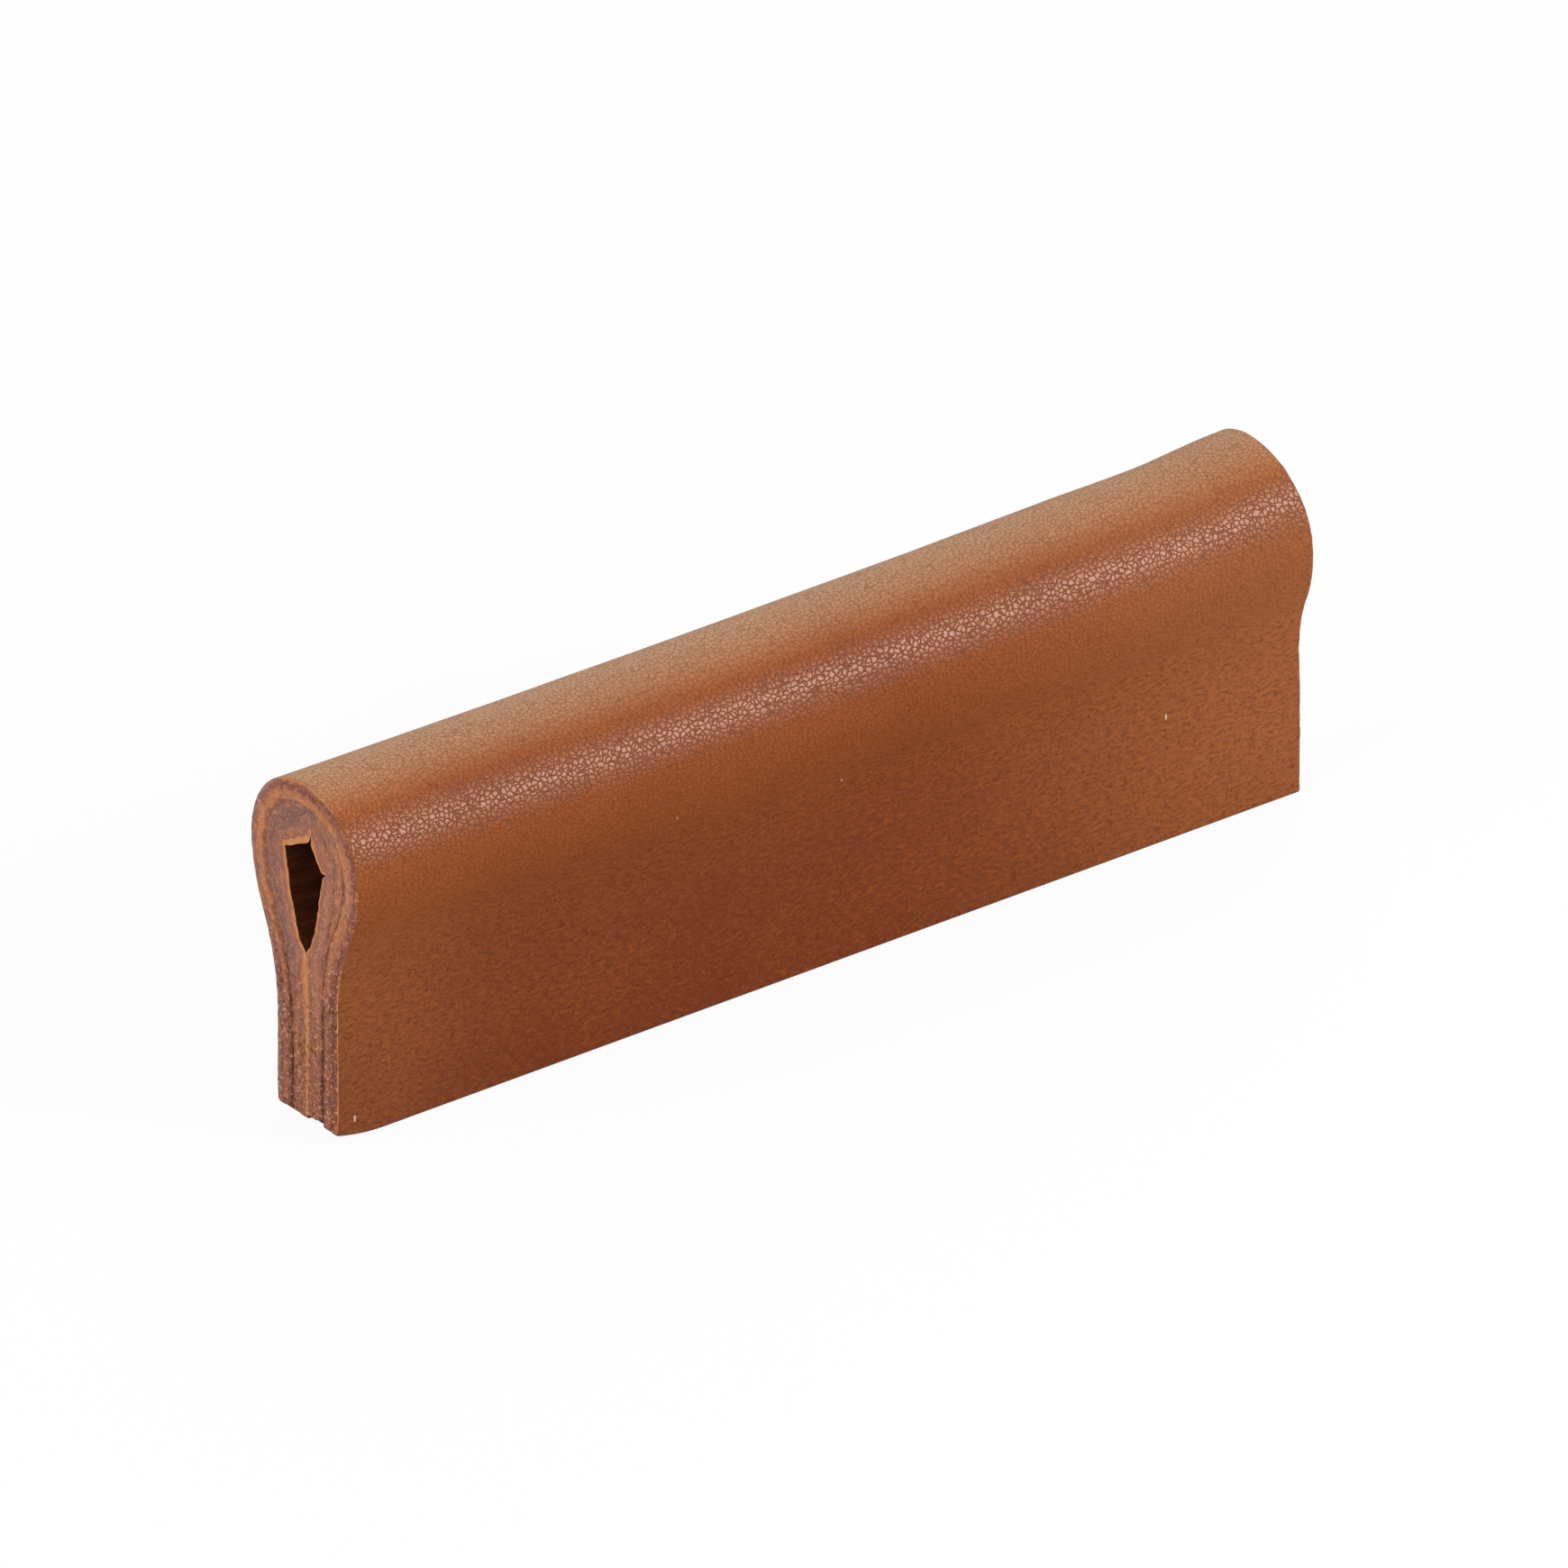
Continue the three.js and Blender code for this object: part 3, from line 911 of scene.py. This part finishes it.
def thread_and_knurl(radius, height, angle):
    """In the bore the radius follows a helix, and on the wall it follows two crossed ones.

    The helix's phase is height / pitch - angle / one turn; a crest is where it is whole.
    """
    phase = (height / PITCH - angle / (2 * pi)) % 1
    thread = (1 - np.abs(2 * phase - 1)) * THREAD * smooth(BORE_DEPTH - height, 0, 0.8)
    in_bore = np.isclose(radius, BORE)
    climb, around = height / KNURL_PITCH, angle * KNURL_COUNT / (2 * pi)
    left = np.abs(2 * ((climb + around) % 1) - 1)
    right = np.abs(2 * ((climb - around) % 1) - 1)
    on_wall = np.isclose(radius, INSERT_RADIUS) & (height > 0.25)
    return radius + in_bore * thread - on_wall * KNURL * np.maximum(left, right)


for side, x in SCREWS.items():
    points, faces = turned(side, insert_profile(), x, CENTRED, RECESS, 144, thread_and_knurl)
    insert = make_mesh(side + "_brass_insert", points, faces)
    insert.data.validate()
    insert.data.materials.append(brass)
    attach(insert, "root")
    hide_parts(side + "_threaded_insert")

# %% [markdown]
# ## Floor
# The photograph has a pure white ground. The floor gives the camera white of its own, and a small
# share of its real, lit colour, so that the shadow under the pull stays.

# %% Pale floor
def shown_white(start, mirrored=1.0):
    """1 for what the camera sees, in the open or in a mirror or through glass, 0 for plain light."""
    straight, glossy, through = (start.node("LightPath", None, None, way) for way in (0, 3, 6))
    return straight.math("MAXIMUM", glossy * mirrored).math("MAXIMUM", through)


FLOOR_SIZE, FLOOR_DROP = 4000.0, 0.1
far, under = FLOOR_SIZE / 2 * MM, -FLOOR_DROP * MM
mesh = bpy.data.meshes.new("floor")
corners = [(-far, -far, under), (far, -far, under), (far, far, under), (-far, far, under)]
mesh.from_pydata(corners, [], [(0, 1, 2, 3)])
floor = bpy.data.objects.new("floor", mesh)
bpy.context.scene.collection.objects.link(floor)
pale = bpy.data.materials.new("pale_floor")
pale.use_nodes = True
pale.node_tree.nodes.clear()
start = Wire(pale.node_tree)
seen = shown_white(start, 0.12)
matt = start.node("BsdfDiffuse", None, {"Color": seen.mix((0.5, 0.5, 0.5), (0.9, 0.9, 0.9))})
white = start.node("Emission", None, {"Color": (1.0, 1.0, 1.0), "Strength": 1.0})
start.node("OutputMaterial", None, {
    "Surface": start.node("MixShader", None, {0: seen * 0.92, 1: matt, 2: white}),
})
mesh.materials.append(pale)
print("floor", FLOOR_SIZE, "mm wide,", FLOOR_DROP, "mm under the feet")

# %% [markdown]
# ## Camera
# The near and the far end of the pull are the same size in the photograph, so it was taken from far
# away with a long lens. A camera without perspective gives the same picture. Its place comes from
# one corner of the foot, and its width from the scale of the photograph.

# %% Camera at the photograph's angle
PIXELS, PIXELS_PER_MM = 1740, 13.46
AZIMUTH, ELEVATION = radians(-37.5), radians(28.5)
CORNER_PIXEL = (375.5, 1271.0)
right = Vector((cos(AZIMUTH), sin(AZIMUTH), 0))
back = Vector((sin(AZIMUTH) * cos(ELEVATION), -cos(AZIMUTH) * cos(ELEVATION), sin(ELEVATION)))
up = back.cross(right)
corner_point = Vector((-LENGTH / 2, CENTRED - LEG_HALF, 0))
centre = (
    corner_point
    + right * (PIXELS / 2 - CORNER_PIXEL[0]) / PIXELS_PER_MM
    + up * (CORNER_PIXEL[1] - PIXELS / 2) / PIXELS_PER_MM
)
camera = bpy.data.objects.new("camera", bpy.data.cameras.new("camera"))
bpy.context.scene.collection.objects.link(camera)
camera.data.type = "ORTHO"
camera.data.ortho_scale = PIXELS / PIXELS_PER_MM * MM
camera.data.clip_start = 0.001
STAND_OFF = 600.0
turn = Matrix((right, up, back)).transposed().to_4x4()
camera.matrix_world = Matrix.Translation((centre + back * STAND_OFF) * MM) @ turn
bpy.context.scene.camera = camera
print("frame", round(PIXELS / PIXELS_PER_MM, 1), "mm wide, right", tuple(round(v, 3) for v in right))

# %% [markdown]
# ## Light
# A small soft box at the front right draws the long gleam on the loop's shoulder, a wide one at the
# left lights the cut end, and one behind lights the crown and the back. The room is a quiet grey
# to everything but the camera.

# %% Lamps and world
def soft_box(name, way, distance, width, height, power):
    """An area lamp that looks at the middle of the pull from this direction."""
    lamp = bpy.data.lights.new(name, "AREA")
    lamp.shape, lamp.size, lamp.size_y, lamp.energy = "RECTANGLE", width, height, power
    box = bpy.data.objects.new(name, lamp)
    bpy.context.scene.collection.objects.link(box)
    way = Vector(way).normalized()
    middle = Vector((0, 0, HEIGHT / 2 * MM))
    turn = way.to_track_quat("Z", "Y").to_matrix().to_4x4()
    box.matrix_world = Matrix.Translation(middle + way * distance) @ turn


soft_box("front_right_box", (0.535, -0.71, 0.457), distance=0.5, width=0.22, height=0.13, power=2.0)
soft_box("upper_left_box", (-0.9, -0.05, 0.45), distance=0.6, width=0.4, height=0.4, power=2.8)
soft_box("back_box", (0.535, 0.62, 0.57), distance=0.7, width=0.4, height=0.8, power=1.9)

world = bpy.data.worlds.new("room")
bpy.context.scene.world = world
world.use_nodes = True
world.node_tree.nodes.clear()
start = Wire(world.node_tree)
grey = start.node("Background", None, {"Color": (1.0, 1.0, 1.0), "Strength": 0.2})
white = start.node("Background", None, {"Color": (1.0, 1.0, 1.0), "Strength": 1.0})
start.node("OutputWorld", None, {
    "Surface": start.node("MixShader", None, {0: shown_white(start, 0.7), 1: grey, 2: white}),
})
bpy.context.scene.view_settings.view_transform = "Standard"
print("lamps:", [lamp.name for lamp in bpy.data.lights])
